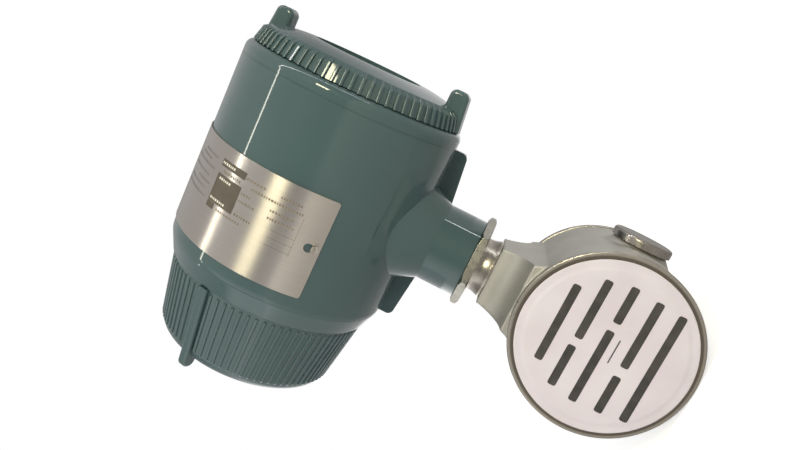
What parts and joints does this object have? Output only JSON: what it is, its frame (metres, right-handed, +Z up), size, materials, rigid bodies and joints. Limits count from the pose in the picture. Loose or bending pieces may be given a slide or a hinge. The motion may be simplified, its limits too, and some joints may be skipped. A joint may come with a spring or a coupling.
{
  "type": "electromagnetic flow meter",
  "caption": "Wafer electromagnetic flow meter: round steel sensor with a lined bore and a sheet over its inlet, carrying a painted drum converter with screw covers and nameplate.",
  "frame": {"origin": "centre of the flow bore, midway between the two sealing faces", "axes": "+X along the bore towards the open outlet face, the sheet on -X; +Z up to the converter; -Y towards the display window"},
  "size_m": [0.1343, 0.2032, 0.3016],
  "materials": {
    "paint": "gloss teal green enamel",
    "stainless": "satin",
    "plate_steel": "brushed",
    "screw_steel": "bright",
    "electrode_metal": "polished",
    "fluoroplastic": "smooth",
    "sheet_paper": "matte",
    "copper": "enamelled wire",
    "iron": "dull",
    "seal_rubber": "matte",
    "lead_jacket": "matte",
    "window": "clear",
    "retainer_aluminium": "turned",
    "circuit_board": "solder mask",
    "post_brass": "turned",
    "black_plastic": "moulded",
    "lcd": "smooth",
    "transformer_core": "lacquered",
    "can_aluminium": "sleeved"
  },
  "bodies": {
    "sensor": {"sensor_housing": "stainless", "end_ring_inlet": "stainless", "end_ring_outlet": "stainless", "stem": "stainless", "electrode_cover_front": "stainless", "electrode_cover_rear": "stainless", "measuring_tube": "stainless", "electrode_nut_front": "screw_steel", "electrode_nut_rear": "screw_steel", "electrode_front": "electrode_metal", "electrode_rear": "electrode_metal", "liner": "fluoroplastic", "electrode_bush_front": "fluoroplastic", "electrode_bush_rear": "fluoroplastic", "protective_sheet": "sheet_paper", "coil_upper": "copper", "coil_lower": "copper", "core_upper": "iron", "core_lower": "iron", "magnetic_yoke": "iron", "stem_seal": "seal_rubber", "sensor_leads": "lead_jacket"},
    "lock_nut": {"lock_nut": "stainless"},
    "front_seal": {"front_cover_seal": "seal_rubber"},
    "front_cover": {"front_cover": "paint", "window_glass": "window", "window_gasket": "seal_rubber", "glass_retainer": "retainer_aluminium"},
    "rear_seal": {"rear_cover_seal": "seal_rubber"},
    "rear_cover": {"rear_cover": "paint"},
    "converter": {"converter_housing": "paint", "nameplate": "plate_steel", "nameplate_screws": "screw_steel", "display_bezel": "black_plastic", "lcd_module": "lcd", "display_board": "circuit_board", "cpu_board": "circuit_board", "power_board": "circuit_board", "board_posts": "post_brass", "transformer": "transformer_core", "capacitors": "can_aluminium", "processor_chips": "black_plastic", "terminal_block": "black_plastic", "terminal_screws": "screw_steel", "earth_screw": "screw_steel"}
  },
  "joints": [
    {"name": "lock_nut_turn", "type": "hinge", "parent": "sensor", "child": "lock_nut", "pos_m": [0, 0, 0.078], "axis": [0, 0, 1], "range_deg": [0, 60]},
    {"name": "converter_swivel", "type": "hinge", "parent": "sensor", "child": "converter", "pos_m": [0, 0, 0.09], "axis": [0, 0, 1], "range_deg": [-90, 90]},
    {"name": "front_cover_travel", "type": "slide", "parent": "converter", "child": "front_seal", "axis": [0, -1, 0], "range_m": [0, 0.0102]},
    {"name": "front_cover_turn", "type": "hinge", "parent": "front_seal", "child": "front_cover", "pos_m": [0, -0.07, 0.1827], "axis": [0, -1, 0], "range_deg": [0, 1800]},
    {"name": "rear_cover_travel", "type": "slide", "parent": "converter", "child": "rear_seal", "axis": [0, 1, 0], "range_m": [0, 0.0102]},
    {"name": "rear_cover_turn", "type": "hinge", "parent": "rear_seal", "child": "rear_cover", "pos_m": [0, 0.08, 0.1827], "axis": [0, 1, 0], "range_deg": [0, 1800]}
  ],
  "couplings": [
    {"joint": "front_cover_travel", "follows": "front_cover_turn", "m_per_rad": 0.00031831},
    {"joint": "rear_cover_travel", "follows": "rear_cover_turn", "m_per_rad": 0.00031831}
  ]
}
